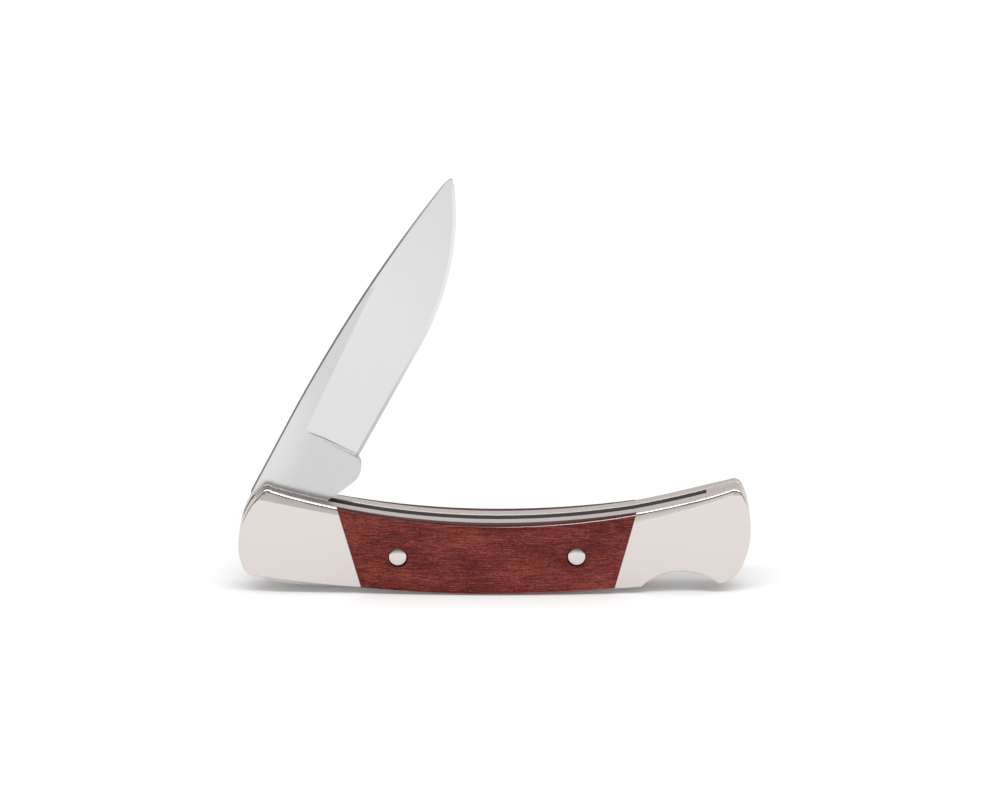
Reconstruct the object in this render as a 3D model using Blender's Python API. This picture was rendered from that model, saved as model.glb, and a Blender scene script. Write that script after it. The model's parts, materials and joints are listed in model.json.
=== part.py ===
"""Folding lockback pocket knife, half open and standing on its spine.

Millimetres are used for every driving dimension and turned into metres when a
mesh is made.  X runs along the handle from the pivot end to the butt, Y across
it from the pile side to the mark side, Z up from the floor.
"""
import bmesh
import bpy
from math import atan2, cos, hypot, pi, radians, sin, sqrt
from mathutils import Matrix, Vector

MM = 0.001

# Handle, side view.  Heights are measured from the lowest point of the spine.
HANDLE_HALF_LENGTH = 47.86
TOP_LOW = (0.8, 13.42)
TOP_RADIUS = 146.0
SPINE_LOW_X = 1.0
SPINE_RADIUS_FRONT = 336.0
SPINE_RADIUS_REAR = 340.0
THUMB_NOTCH_CENTRE = (34.8, -7.85)
THUMB_NOTCH_RADIUS = 12.0
SCALE_FRONT_LINE = ((-29.4, 16.74), (-25.0, 1.53))
SCALE_REAR_LINE = ((26.55, 15.87), (22.5, 1.23))

# Handle, across.  Distances from the middle plane.
SLOT_HALF = 1.3
LINER_OUTER = 3.9
HANDLE_HALF_WIDTH = 6.0
CROWN_HALF = 6.0
JOINT_HALF = 5.05
JOINT_X = 26.0

# Half widths at distances from the middle, straight in between, towards the two ends.
FRONT_PLAN = ((38.0, 4.88), (40.5, 4.8), (42.5, 4.63), (44.0, 4.45), (45.0, 4.42))
REAR_PLAN = ((38.0, 4.88), (40.5, 4.72), (42.5, 4.42), (44.0, 4.14), (46.0, 4.04))
REAR_LINER_PLAN = ((38.0, 3.9), (40.5, 3.84), (42.5, 3.65), (44.0, 3.48), (46.0, 3.42))
SEAT = 0.05
BOLSTER_EDGE = 0.45
SCALE_EDGE = 1.0
LINER_EDGE = 0.15

# Pins.
BORE_GAP = 0.06
PIVOT = (-38.86, 11.82)
PIVOT_RADIUS = 2.0
ROCKER = (-3.0, 2.7)
ROCKER_RADIUS = 1.2
SCALE_PINS = (("front", (-18.0, 7.16)), ("rear", (15.31, 7.28)))
SCALE_PIN_RADIUS = 1.8
SCALE_PIN_DOME = 0.3
PIN_STAND = 0.06
RIVETS = (("upper", (43.2, 15.6)), ("lower", (43.6, 6.2)))
RIVET_RADIUS = 1.2

# Butt spacer and leaf spring.
SPACER_FRONT = 39.6
SPRING_Z = 9.3
SPRING_THICKNESS = 0.8
SPRING_ROOT = 45.0
SPRING_TOE = (25.6, 5.84)

# Blade.  x runs along the back from the pivot, y from the back to the edge.
BLADE_ANGLE = 62.5
BLADE_HALF = 1.2
BACK_Y = -8.88
BACK_STRAIGHT = 18.0
BACK_RADIUS = 314.0
EDGE_HEEL_Y = 5.75
EDGE_BELLY = (44.0, 6.25)
EDGE_RADIUS = 52.3
TIP_X = 73.66
PLUNGE_X = 18.05
PLUNGE_FILLET = 0.55
GRIND_START_Y = -5.4
GRIND_RUNOUT = (54.0, -7.0)
GRIND_HOLLOW = 0.14
SHOULDER_HALF = 0.26
EDGE_HALF = 0.02
EDGE_BAND = 0.65
TANG_RADIUS = 5.9
NOTCH_FACE_X = 2.73
NOTCH_FLOOR_Y = -4.0
NOTCH_REAR_X = -2.0
UNDERSIDE_Y = 4.0
NICK_CENTRE = (36.5, -7.3)
NICK_WHEEL_RADIUS = 25.0
NICK_DEPTH = 0.45
NICK_WIDTH = 1.3

# Lock bar, drawn seated in the notch and then lifted on to the tang's round.
BAR_HALF = 1.2
BAR_HEIGHT = 3.4
BAR_TAIL_HEIGHT = 2.6
BAR_STRAIGHT_X = 26.0
BAR_TAIL = (39.4, 1.9)
BAR_BOSS_RADIUS = 2.3
BAR_LIFT = 2.8
OPEN_ANGLE = 170.7
TOOTH_FRONT_X = 2.55
TOOTH_REAR_X = -1.55
TOOTH_TIP_Y = -4.2
TOOTH_RELIEF = 6.3

# The lifted bar reaches a little below the handle, so all heights move up by this.
FLOOR_LIFT = 0.2

STEPS = 32


def clear_scene():
    for item in list(bpy.data.objects):
        bpy.data.objects.remove(item, do_unlink=True)


def material(name, colour, metallic, roughness):
    made = bpy.data.materials.new(name)
    made.use_nodes = True
    shader = made.node_tree.nodes["Principled BSDF"]
    shader.inputs["Base Color"].default_value = (*colour, 1.0)
    shader.inputs["Metallic"].default_value = metallic
    shader.inputs["Roughness"].default_value = roughness
    return made


def arc(start, through, end, count):
    """Points of the circle through three points, without the last one."""
    (ax, ay), (bx, by), (cx, cy) = start, through, end
    d = 2.0 * (ax * (by - cy) + bx * (cy - ay) + cx * (ay - by))
    a2, b2, c2 = ax * ax + ay * ay, bx * bx + by * by, cx * cx + cy * cy
    ux = (a2 * (by - cy) + b2 * (cy - ay) + c2 * (ay - by)) / d
    uy = (a2 * (cx - bx) + b2 * (ax - cx) + c2 * (bx - ax)) / d
    first = atan2(ay - uy, ax - ux)
    middle = (atan2(by - uy, bx - ux) - first) % (2.0 * pi)
    sweep = (atan2(cy - uy, cx - ux) - first) % (2.0 * pi)
    if middle > sweep:
        sweep -= 2.0 * pi
    radius = hypot(ax - ux, ay - uy)
    angles = [first + sweep * i / count for i in range(count)]
    return [(ux + radius * cos(a), uy + radius * sin(a)) for a in angles]


def top_z(x):
    return TOP_LOW[1] + TOP_RADIUS - sqrt(TOP_RADIUS ** 2 - (x - TOP_LOW[0]) ** 2)


def spine_z(x):
    radius = SPINE_RADIUS_FRONT if x < SPINE_LOW_X else SPINE_RADIUS_REAR
    return radius - sqrt(radius ** 2 - (x - SPINE_LOW_X) ** 2)


def spine_point(x):
    return (x, spine_z(x))


def handle_outline():
    """The handle's side view, run clockwise from the front apex."""
    notch_top = THUMB_NOTCH_CENTRE[1] + THUMB_NOTCH_RADIUS
    points = arc((-41.4, top_z(-41.4)), (-20.0, top_z(-20.0)), TOP_LOW, 14)
    points += arc(TOP_LOW, (13.0, 13.889), (26.0, 15.42), 8)
    points += arc((26.0, 15.42), (35.0, 17.37), (43.8, 19.72), 6)
    points += arc((43.8, 19.72), (45.35, 19.92), (46.35, 19.05), 4)
    points += arc((46.35, 19.05), (HANDLE_HALF_LENGTH, 12.6), (46.35, 4.95), 10)
    points += arc((46.35, 4.95), (45.1, 3.16), (43.5, 2.03), 4)
    points += arc((43.5, 2.03), (42.5, 1.59), (41.5, 1.93), 4)
    points += arc((41.5, 1.93), (THUMB_NOTCH_CENTRE[0], notch_top), (27.5, 1.1), 12)
    points += arc((27.5, 1.1), spine_point(14.0), spine_point(SPINE_LOW_X), 8)
    points += arc(spine_point(SPINE_LOW_X), spine_point(-20.0), (-45.0, 3.15), 12)
    points += arc((-45.0, 3.15), (-46.4, 3.86), (-47.15, 5.2), 4)
    points += arc((-47.15, 5.2), (-HANDLE_HALF_LENGTH, 8.85), (-47.5, 11.6), 6)
    points += arc((-47.5, 11.6), (-46.1, 15.9), (-43.5, 19.35), 8)
    points += arc((-43.5, 19.35), (-42.45, 20.06), (-41.4, top_z(-41.4)), 4)
    return points


def clip(points, line, keep, gap=0.0):
    """Keep the part of an outline on the side of the line where keep lies."""
    (ax, ay), (bx, by) = line
    nx, ny = ay - by, bx - ax
    length = hypot(nx, ny)
    nx, ny = nx / length, ny / length
    if (keep[0] - ax) * nx + (keep[1] - ay) * ny < 0.0:
        nx, ny = -nx, -ny
    kept = []
    for i, (px, py) in enumerate(points):
        qx, qy = points[(i + 1) % len(points)]
        dp = (px - ax) * nx + (py - ay) * ny - gap
        dq = (qx - ax) * nx + (qy - ay) * ny - gap
        if dp >= 0.0:
            kept.append((px, py))
        if dp * dq < 0.0:
            t = dp / (dp - dq)
            kept.append((px + (qx - px) * t, py + (qy - py) * t))
    return kept


def add_object(name, bm, look, origin=(0.0, 0.0)):
    bmesh.ops.recalc_face_normals(bm, faces=bm.faces)
    mesh = bpy.data.meshes.new(name)
    bm.to_mesh(mesh)
    bm.free()
    made = bpy.data.objects.new(name, mesh)
    made.location = (origin[0] * MM, 0.0, origin[1] * MM)
    bpy.context.collection.objects.link(made)
    mesh.materials.append(look)
    mesh.shade_smooth()
    mesh.set_sharp_from_angle(angle=radians(28.0))
    return made


def plate(points, y0, y1, shift=(0.0, 0.0)):
    """A flat plate with the given outline between two depths, as a bmesh."""
    bm = bmesh.new()
    corners = [bm.verts.new(((x - shift[0]) * MM, y0 * MM, (z - shift[1]) * MM)) for x, z in points]
    face = bm.faces.new(corners)
    grown = bmesh.ops.extrude_face_region(bm, geom=[face])
    moved = [v for v in grown["geom"] if isinstance(v, bmesh.types.BMVert)]
    bmesh.ops.translate(bm, verts=moved, vec=(0.0, (y1 - y0) * MM, 0.0))
    bmesh.ops.recalc_face_normals(bm, faces=bm.faces)
    return bm


def round_rim(bm, depth, width, segments, lines=()):
    """Round the rim edges at a depth, leaving those that lie on the given lines."""
    chosen = []
    for edge in bm.edges:
        a, b = (v.co / MM for v in edge.verts)
        if abs(a.y - depth) > 1e-4 or abs(b.y - depth) > 1e-4:
            continue
        if any(near_line(a, line) and near_line(b, line) for line in lines):
            continue
        chosen.append(edge)
    bmesh.ops.bevel(
        bm, geom=chosen, offset=width * MM, offset_type="OFFSET", segments=segments,
        profile=0.5, affect="EDGES", clamp_overlap=True,
    )


def along_plan(plan, x):
    """Half width at a distance from the middle, by straight lines between the plan's points."""
    if x <= plan[0][0]:
        return plan[0][1]
    for (ax, ah), (bx, bh) in zip(plan, plan[1:]):
        if x <= bx:
            return ah + (bh - ah) * (x - ax) / (bx - ax)
    return plan[-1][1]


def bolster_half(x):
    """Half width over the bolsters: flat faces that round in at the ends."""
    return along_plan(FRONT_PLAN if x < 0.0 else REAR_PLAN, abs(x))


def liner_half(x):
    """Half width over the liners, drawn in at the butt."""
    return along_plan(REAR_LINER_PLAN, x)


def scale_half(x):
    """Half width over the scales: a long crown that meets the bolsters."""
    return CROWN_HALF - (CROWN_HALF - JOINT_HALF) * (x / JOINT_X) ** 2


def taper(bm, side, half_at):
    """Draw the outer face and its rounded rim in to the half width at each place."""
    for vert in bm.verts:
        x, depth = vert.co.x / MM, abs(vert.co.y) / MM
        if depth > LINER_OUTER + 0.5:
            vert.co.y -= side * (HANDLE_HALF_WIDTH - half_at(x)) * MM
        elif depth > LINER_OUTER - 0.5:
            vert.co.y -= side * (LINER_OUTER - liner_half(x)) * MM


def slice_along(bm, places):
    """Cut a plate into strips along its length, so that it can be bent."""
    for x in places:
        bmesh.ops.bisect_plane(
            bm, geom=bm.verts[:] + bm.edges[:] + bm.faces[:], dist=1e-7,
            plane_co=(x * MM, 0.0, 0.0), plane_no=(1.0, 0.0, 0.0),
        )


def near_line(point, line):
    (ax, az), (bx, bz) = line
    nx, nz = az - bz, bx - ax
    z = point.z - FLOOR_LIFT
    return abs((point.x - ax) * nx + (z - az) * nz) / hypot(nx, nz) < 0.1


def lathe_pin(radius, y0, y1, dome_side=0, dome=0.0, chamfer=0.12):
    """A round pin along Y, with small chamfers and an optional domed head."""
    profile = [(0.0, y0), (radius - chamfer, y0), (radius, y0 + chamfer)]
    profile += [(radius, y1 - chamfer), (radius - chamfer, y1), (0.0, y1)]
    if dome_side > 0:
        profile[3:] = dome_profile(radius, y1, dome)
    if dome_side < 0:
        mirrored = [(r, -y) for r, y in dome_profile(radius, -y0, dome)]
        profile[:3] = list(reversed(mirrored))
    bm = bmesh.new()
    rings = []
    for r, y in profile:
        if r < 1e-6:
            rings.append([bm.verts.new((0.0, y * MM, 0.0))])
            continue
        angles = [2.0 * pi * k / STEPS for k in range(STEPS)]
        rings.append([bm.verts.new((r * cos(a) * MM, y * MM, r * sin(a) * MM)) for a in angles])
    for lower, upper in zip(rings, rings[1:]):
        for k in range(STEPS):
            n = (k + 1) % STEPS
            quad = [lower[k % len(lower)], lower[n % len(lower)]]
            quad += [upper[n % len(upper)], upper[k % len(upper)]]
            bm.faces.new(list(dict.fromkeys(quad)))
    return bm


def dome_profile(radius, crest, dome):
    rise = [(1.0, 1.0), (0.85, 0.62), (0.62, 0.3), (0.33, 0.08), (0.0, 0.0)]
    return [(radius * r, crest - dome * d) for r, d in rise]


def place_pin(name, centre, bm, look):
    return add_object(name, bm, look, lifted(centre))


def lifted(centre):
    return (centre[0], centre[1] + FLOOR_LIFT)


def raise_outline(points):
    return [(x, z + FLOOR_LIFT) for x, z in points]


def bore_cutter(name, centre, radius, look):
    bm = lathe_pin(radius + BORE_GAP, -9.0, 9.0, chamfer=0.02)
    made = add_object(name, bm, look, lifted(centre))
    return as_cutter(made)


def as_cutter(made):
    made.hide_render = True
    made.display_type = "WIRE"
    return made


def cut(target, cutter):
    step = target.modifiers.new(cutter.name, "BOOLEAN")
    step.operation = "DIFFERENCE"
    step.solver = "EXACT"
    step.object = cutter


def build_liners(outline, bores, look):
    for name, side in (("pile", -1), ("mark", 1)):
        inner, outer = side * SLOT_HALF, side * (LINER_OUTER - SEAT)
        bm = plate(raise_outline(outline), inner, outer)
        round_rim(bm, inner, LINER_EDGE, 1)
        slice_along(bm, [x for x, half in REAR_LINER_PLAN])
        taper(bm, side, scale_half)
        made = add_object(name + "_liner", bm, look)
        for bore in bores:
            cut(made, bore)


def build_bolsters(outline, look):
    front = clip(outline, SCALE_FRONT_LINE, (-40.0, 10.0), SEAT)
    rear = clip(outline, SCALE_REAR_LINE, (40.0, 10.0), SEAT)
    for name, side in (("pile", -1), ("mark", 1)):
        for end, shape, line in (
            ("front", front, SCALE_FRONT_LINE),
            ("rear", rear, SCALE_REAR_LINE),
        ):
            outer = side * HANDLE_HALF_WIDTH
            bm = plate(raise_outline(shape), side * LINER_OUTER, outer)
            round_rim(bm, outer, BOLSTER_EDGE, 3, [line])
            plan = FRONT_PLAN if end == "front" else REAR_PLAN
            slice_along(bm, [x if end == "rear" else -x for x, half in plan])
            taper(bm, side, bolster_half)
            add_object(f"{name}_{end}_bolster", bm, look[name + end])


def build_scales(outline, bores, looks):
    shape = clip(outline, SCALE_FRONT_LINE, (0.0, 7.0), SEAT)
    shape = clip(shape, SCALE_REAR_LINE, (0.0, 7.0), SEAT)
    lines = [SCALE_FRONT_LINE, SCALE_REAR_LINE]
    for name, side in (("pile", -1), ("mark", 1)):
        outer = side * HANDLE_HALF_WIDTH
        bm = plate(raise_outline(shape), side * LINER_OUTER, outer)
        round_rim(bm, outer, SCALE_EDGE, 4, lines)
        slice_along(bm, range(-24, 27, 6))
        taper(bm, side, scale_half)
        made = add_object(name + "_scale", bm, looks[name])
        for bore in bores:
            cut(made, bore)


def build_scale_pins(look):
    for name, side in (("pile", -1), ("mark", 1)):
        for end, centre in SCALE_PINS:
            inner = side * (SLOT_HALF + SEAT)
            crest = side * (scale_half(centre[0]) + PIN_STAND)
            low, high = sorted((inner, crest))
            bm = lathe_pin(SCALE_PIN_RADIUS, low, high, side, SCALE_PIN_DOME)
            place_pin(f"{name}_scale_pin_{end}", centre, bm, look[name + end])


def build_spacer(outline, rivet_bores, look):
    line = ((SPACER_FRONT, 0.0), (SPACER_FRONT, 10.0))
    shape = raise_outline(clip(outline, line, (60.0, 5.0)))
    half = SLOT_HALF - SEAT
    made = add_object("butt_spacer", plate(shape, -half, half), look)
    for bore in rivet_bores:
        cut(made, bore)
    low = SPRING_Z - SPRING_THICKNESS / 2.0 - SEAT
    high = SPRING_Z + SPRING_THICKNESS / 2.0 + SEAT
    front, back = SPACER_FRONT - 2.0, SPRING_ROOT + SEAT
    seat = raise_outline([(front, low), (back, low), (back, high), (front, high)])
    cut(made, as_cutter(add_object("spring_seat", plate(seat, -3.0, 3.0), look)))


def build_spring(look):
    """A leaf rooted in the spacer, bent down so that its toe bears on the bar's tail."""
    half = SPRING_THICKNESS / 2.0
    toe_x, toe_z = SPRING_TOE
    middle = [(SPRING_ROOT, SPRING_Z), (SPACER_FRONT - 1.2, SPRING_Z)]
    middle += arc((SPACER_FRONT - 2.2, SPRING_Z - 0.06), (32.0, 8.2), (26.6, toe_z + half + 0.05), 6)
    middle += [(26.6, toe_z + half + 0.05), (toe_x, toe_z + half + 0.02), (toe_x - 1.2, toe_z + half + 0.3)]
    upper, lower = [], []
    for i, (x, z) in enumerate(middle):
        ax, az = middle[max(i - 1, 0)]
        bx, bz = middle[min(i + 1, len(middle) - 1)]
        run = hypot(bx - ax, bz - az)
        nx, nz = -(bz - az) / run, (bx - ax) / run
        upper.append((x - nx * half, z - nz * half))
        lower.append((x + nx * half, z + nz * half))
    shape = raise_outline(upper + lower[::-1])
    add_object("lock_spring", plate(shape, -1.1, 1.1), look)


def back_y(x):
    run = max(x - BACK_STRAIGHT, 0.0)
    return BACK_Y + BACK_RADIUS - sqrt(BACK_RADIUS ** 2 - run ** 2)


def edge_y(x):
    if x < EDGE_BELLY[0]:
        share = (x - PLUNGE_X) / (EDGE_BELLY[0] - PLUNGE_X)
        return EDGE_HEEL_Y + (EDGE_BELLY[1] - EDGE_HEEL_Y) * share
    run = x - EDGE_BELLY[0]
    return EDGE_BELLY[1] - EDGE_RADIUS + sqrt(EDGE_RADIUS ** 2 - run ** 2)


def edge_slope(x):
    run = max(x - EDGE_BELLY[0], 0.0)
    return run / sqrt(EDGE_RADIUS ** 2 - run ** 2)


def grind_y(x):
    share = (x - PLUNGE_X) / (GRIND_RUNOUT[0] - PLUNGE_X)
    return GRIND_START_Y + (GRIND_RUNOUT[1] - GRIND_START_Y) * share


def section(x):
    """Half section at x: pairs of y and half thickness from the back to the edge."""
    back, edge = back_y(x), edge_y(x)
    band = EDGE_BAND * sqrt(1.0 + edge_slope(x) ** 2)
    shoulder = max(edge - band, back + 0.4 * (edge - back))
    grind = grind_y(x)
    start = max(grind, back + 0.06 * (edge - back))
    rows = [back, start] + [start + (shoulder - start) * k / 6.0 for k in range(1, 7)]
    blend = max(1.0 - (x - PLUNGE_X) / PLUNGE_FILLET, 0.0) ** 2
    half = []
    for y in rows:
        u = max((y - grind) / (shoulder - grind), 0.0)
        ground = BLADE_HALF + (SHOULDER_HALF - BLADE_HALF) * u - GRIND_HOLLOW * 4.0 * u * (1.0 - u)
        half.append(ground + (BLADE_HALF - ground) * blend)
    rows.append(edge)
    half.append(EDGE_HALF + (BLADE_HALF - EDGE_HALF) * blend)
    return list(zip(rows, half))


def tang_outline():
    """The tang from the back at the plunge line round to the heel of the edge."""
    rear_y = -sqrt(TANG_RADIUS ** 2 - NOTCH_REAR_X ** 2)
    under_x = -sqrt(TANG_RADIUS ** 2 - UNDERSIDE_Y ** 2)
    points = [(NOTCH_FACE_X, BACK_Y), (NOTCH_FACE_X, NOTCH_FLOOR_Y), (NOTCH_REAR_X, NOTCH_FLOOR_Y)]
    points += arc((NOTCH_REAR_X, rear_y), (-TANG_RADIUS, 0.0), (under_x, UNDERSIDE_Y), 20)
    points += [(under_x, UNDERSIDE_Y)]
    points += arc((5.4, UNDERSIDE_Y), (7.8, 4.38), (10.0, 5.42), 4)
    points += arc((10.0, 5.42), (11.65, 6.25), (13.1, 6.93), 2)
    points += arc((13.1, 6.93), (15.5, 7.42), (17.4, 6.72), 7)
    points += [(17.4, 6.72)]
    return points


def build_blade(bores, look):
    stations = [PLUNGE_X + PLUNGE_FILLET * s for s in (0.0, 0.13, 0.33, 0.61, 1.0)]
    stations += [20.0, 22.0, 24.5, 27.0, 32.0, 37.0, 41.0, 44.0, 46.5, 49.0]
    stations += [51.5, 54.0, 56.5, 59.0, 61.5, 64.0, 66.0, 68.0, 69.7, 71.2, 72.4, 73.2]
    bm = bmesh.new()

    def vertex(x, y, half):
        return bm.verts.new((x * MM, half * MM, -y * MM))

    rings = []
    for x in stations:
        pairs = section(x)
        left = [vertex(x, y, -h) for y, h in pairs]
        right = [vertex(x, y, h) for y, h in pairs]
        rings.append(left + right[::-1])
    count = len(rings[0])
    for a, b in zip(rings, rings[1:]):
        for k in range(count):
            n = (k + 1) % count
            bm.faces.new((a[k], a[n], b[n], b[k]))
    last = section(73.2)
    middle = (last[0][0] + last[-1][0]) / 2.0
    end = []
    for y, h in last:
        end.append((middle + (y - middle) * 0.3, h * 0.5))
    cap = [vertex(TIP_X, y, -h) for y, h in end] + [vertex(TIP_X, y, h) for y, h in end[::-1]]
    for k in range(count):
        n = (k + 1) % count
        bm.faces.new((rings[-1][k], rings[-1][n], cap[n], cap[k]))
    bm.faces.new(cap)
    near, far = rings[0][: count // 2], rings[0][count // 2:][::-1]
    outline = tang_outline()
    left = [vertex(x, y, -BLADE_HALF) for x, y in outline]
    right = [vertex(x, y, BLADE_HALF) for x, y in outline]
    bm.faces.new(near[::-1] + left)
    bm.faces.new(far + right[::-1])
    chain_left, chain_right = [near[0]] + left + [near[-1]], [far[0]] + right + [far[-1]]
    for k in range(len(chain_left) - 1):
        bm.faces.new((chain_left[k], chain_left[k + 1], chain_right[k + 1], chain_right[k]))
    made = add_object("blade", bm, look, lifted(PIVOT))
    made.rotation_euler = (0.0, -radians(BLADE_ANGLE), 0.0)
    for bore in bores:
        cut(made, bore)
    cut(made, nick_cutter(look))


def nick_cutter(look):
    """The disc that mills the nail nick into the mark side near the back."""
    bm = bmesh.new()
    bmesh.ops.create_cone(
        bm, cap_ends=True, cap_tris=False, segments=96, radius1=NICK_WHEEL_RADIUS * MM,
        radius2=NICK_WHEEL_RADIUS * MM, depth=NICK_WIDTH * MM,
    )
    reach = BLADE_HALF + NICK_WHEEL_RADIUS - NICK_DEPTH
    x, z = NICK_CENTRE[0], -NICK_CENTRE[1]
    tilt = Matrix.Rotation(radians(14.0), 4, "X")
    about = Matrix.Translation(Vector((x, BLADE_HALF, z)) * MM)
    shift = Matrix.Translation(Vector((0.0, reach - BLADE_HALF, 0.0)) * MM)
    turn = Matrix.Rotation(-radians(BLADE_ANGLE), 4, "Y")
    pivot = lifted(PIVOT)
    home = Matrix.Translation(Vector((pivot[0], 0.0, pivot[1])) * MM)
    bmesh.ops.transform(bm, matrix=home @ turn @ about @ tilt @ shift, verts=bm.verts)
    return as_cutter(add_object("nick_wheel", bm, look))


def from_open_blade(x, y):
    """Handle coordinates of a blade point with the blade fully open."""
    c, s = cos(radians(OPEN_ANGLE)), sin(radians(OPEN_ANGLE))
    return (PIVOT[0] + x * c + y * s, PIVOT[1] + x * s - y * c)


def bar_bottom(x):
    if x <= BAR_STRAIGHT_X:
        return spine_z(x)
    low = spine_z(BAR_STRAIGHT_X)
    return low + (BAR_TAIL[1] - low) * (x - BAR_STRAIGHT_X) / (BAR_TAIL[0] - BAR_STRAIGHT_X)


def bar_outline():
    """The lock bar's side view when its tooth is seated in the notch."""
    front = from_open_blade(TOOTH_FRONT_X, BACK_Y + 0.05)
    rear_y = -sqrt(TOOTH_RELIEF ** 2 - TOOTH_REAR_X ** 2)
    relief_y = BACK_Y + BAR_HEIGHT
    relief_x = -sqrt(TOOTH_RELIEF ** 2 - relief_y ** 2)
    bow = (TOOTH_REAR_X + relief_x) / 2.0
    points = [front, from_open_blade(TOOTH_FRONT_X, TOOTH_TIP_Y)]
    points += [from_open_blade(TOOTH_REAR_X, TOOTH_TIP_Y)]
    points += arc(
        from_open_blade(TOOTH_REAR_X, rear_y),
        from_open_blade(bow, -sqrt(TOOTH_RELIEF ** 2 - bow ** 2)),
        from_open_blade(relief_x, relief_y), 5,
    )
    points += [from_open_blade(relief_x, relief_y)]
    points += [(x, spine_z(x) + BAR_HEIGHT) for x in (-29.0, -24.0, -18.0, -12.0, -7.0)]
    points += arc(
        (ROCKER[0] - 2.1, BAR_HEIGHT + 0.35), (ROCKER[0], ROCKER[1] + BAR_BOSS_RADIUS),
        (ROCKER[0] + 2.1, BAR_HEIGHT + 0.35), 8,
    )
    points += [(ROCKER[0] + 2.1, BAR_HEIGHT + 0.35)]
    points += [(x, bar_bottom(x) + BAR_HEIGHT) for x in (1.0, 8.0, 15.0, 22.0, 27.0)]
    points += [(BAR_TAIL[0], BAR_TAIL[1] + BAR_TAIL_HEIGHT), BAR_TAIL]
    under = [BAR_STRAIGHT_X - 4.0 * k for k in range(17)]
    points += [(x, bar_bottom(x)) for x in under if x > front[0] + 1.0]
    return points


def build_bar(bores, look):
    bm = plate(bar_outline(), -BAR_HALF, BAR_HALF, ROCKER)
    made = add_object("lock_bar", bm, look, lifted(ROCKER))
    made.rotation_euler = (0.0, -radians(BAR_LIFT), 0.0)
    for bore in bores:
        cut(made, bore)


def main():
    clear_scene()
    nickel = (0.72, 0.68, 0.65)
    steel = (0.66, 0.66, 0.67)
    wood = (0.165, 0.03, 0.021)
    sides = ("pile", "mark")
    outline = handle_outline()

    tool = material("bore_tool", (0.4, 0.4, 0.4), 0.0, 0.5)
    pivot_bore = bore_cutter("pivot_bore", PIVOT, PIVOT_RADIUS, tool)
    rocker_bore = bore_cutter("rocker_bore", ROCKER, ROCKER_RADIUS, tool)
    pin_bores = [bore_cutter(f"pin_bore_{end}", at, SCALE_PIN_RADIUS, tool) for end, at in SCALE_PINS]
    rivet_bores = [bore_cutter(f"rivet_bore_{end}", at, RIVET_RADIUS, tool) for end, at in RIVETS]

    liner_look = material("liner_nickel", nickel, 1.0, 0.28)
    build_liners(outline, [pivot_bore, rocker_bore] + pin_bores + rivet_bores, liner_look)
    ends = [side + end for side in sides for end in ("front", "rear")]
    build_bolsters(outline, {end: material(end + "_nickel", nickel, 1.0, 0.12) for end in ends})
    build_scales(outline, pin_bores, {side: material(side + "_wood", wood, 0.0, 0.32) for side in sides})
    build_scale_pins({end: material(end + "_pin_nickel", nickel, 1.0, 0.15) for end in ends})

    half = LINER_OUTER - 2.0 * SEAT
    for name, centre, radius in (("pivot_pin", PIVOT, PIVOT_RADIUS), ("rocker_pin", ROCKER, ROCKER_RADIUS)):
        look = material(name + "_steel", steel, 1.0, 0.3)
        place_pin(name, centre, lathe_pin(radius, -half, half), look)
    half = liner_half(HANDLE_HALF_LENGTH) - 2.0 * SEAT
    for end, centre in RIVETS:
        look = material(end + "_rivet_nickel", nickel, 1.0, 0.3)
        place_pin("butt_rivet_" + end, centre, lathe_pin(RIVET_RADIUS, -half, half), look)

    build_spacer(outline, rivet_bores, material("spacer_nickel", nickel, 1.0, 0.28))
    build_spring(material("spring_steel", (0.5, 0.5, 0.52), 1.0, 0.35))
    build_bar([rocker_bore], material("bar_steel", steel, 1.0, 0.3))
    build_blade([pivot_bore], material("blade_steel", steel, 1.0, 0.25))


main()
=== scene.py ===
"""Looks of a folding lockback pocket knife, laid out as an add-on and run as a script."""

import json
from math import cos, hypot, pi, radians, sin, sqrt

import bmesh
import bpy
from mathutils import Matrix, Vector


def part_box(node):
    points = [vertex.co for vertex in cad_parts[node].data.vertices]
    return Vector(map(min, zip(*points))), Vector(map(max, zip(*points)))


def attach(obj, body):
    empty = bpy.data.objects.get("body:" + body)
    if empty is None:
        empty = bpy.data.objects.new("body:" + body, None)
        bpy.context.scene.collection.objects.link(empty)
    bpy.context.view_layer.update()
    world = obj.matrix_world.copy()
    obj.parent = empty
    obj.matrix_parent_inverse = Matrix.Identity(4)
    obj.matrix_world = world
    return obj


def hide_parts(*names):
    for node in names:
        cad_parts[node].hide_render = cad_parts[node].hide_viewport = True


bl_info = {
    "name": "Lockback pocket knife looks",
    "version": (1, 0, 0),
    "blender": (4, 5, 0),
    "location": "View3D > Sidebar > Knife",
    "description": "Builds the visible pieces, finishes and stage of a folding knife",
    "category": "Object",
}

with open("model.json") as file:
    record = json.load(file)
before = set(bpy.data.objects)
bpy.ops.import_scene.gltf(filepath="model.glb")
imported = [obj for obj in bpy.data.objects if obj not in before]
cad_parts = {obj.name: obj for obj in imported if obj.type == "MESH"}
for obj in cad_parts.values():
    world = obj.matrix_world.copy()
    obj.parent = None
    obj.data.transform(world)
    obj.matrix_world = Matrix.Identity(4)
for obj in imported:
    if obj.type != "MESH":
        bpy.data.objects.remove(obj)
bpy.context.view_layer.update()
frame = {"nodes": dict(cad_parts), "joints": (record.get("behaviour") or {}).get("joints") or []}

MM = 0.001
JOINTS = {joint["name"]: joint for joint in frame["joints"]}
PIVOT = Vector(JOINTS["blade_swing"]["pos_m"])
FULL_TURN = 360.0
SIDES = (("pile", -1.0), ("mark", 1.0))
ENDS = ("front", "rear")

# Height of the slot arcs' and the camera aim's base line above the floor, in millimetres.
FLOOR_LIFT = 0.2

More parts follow.
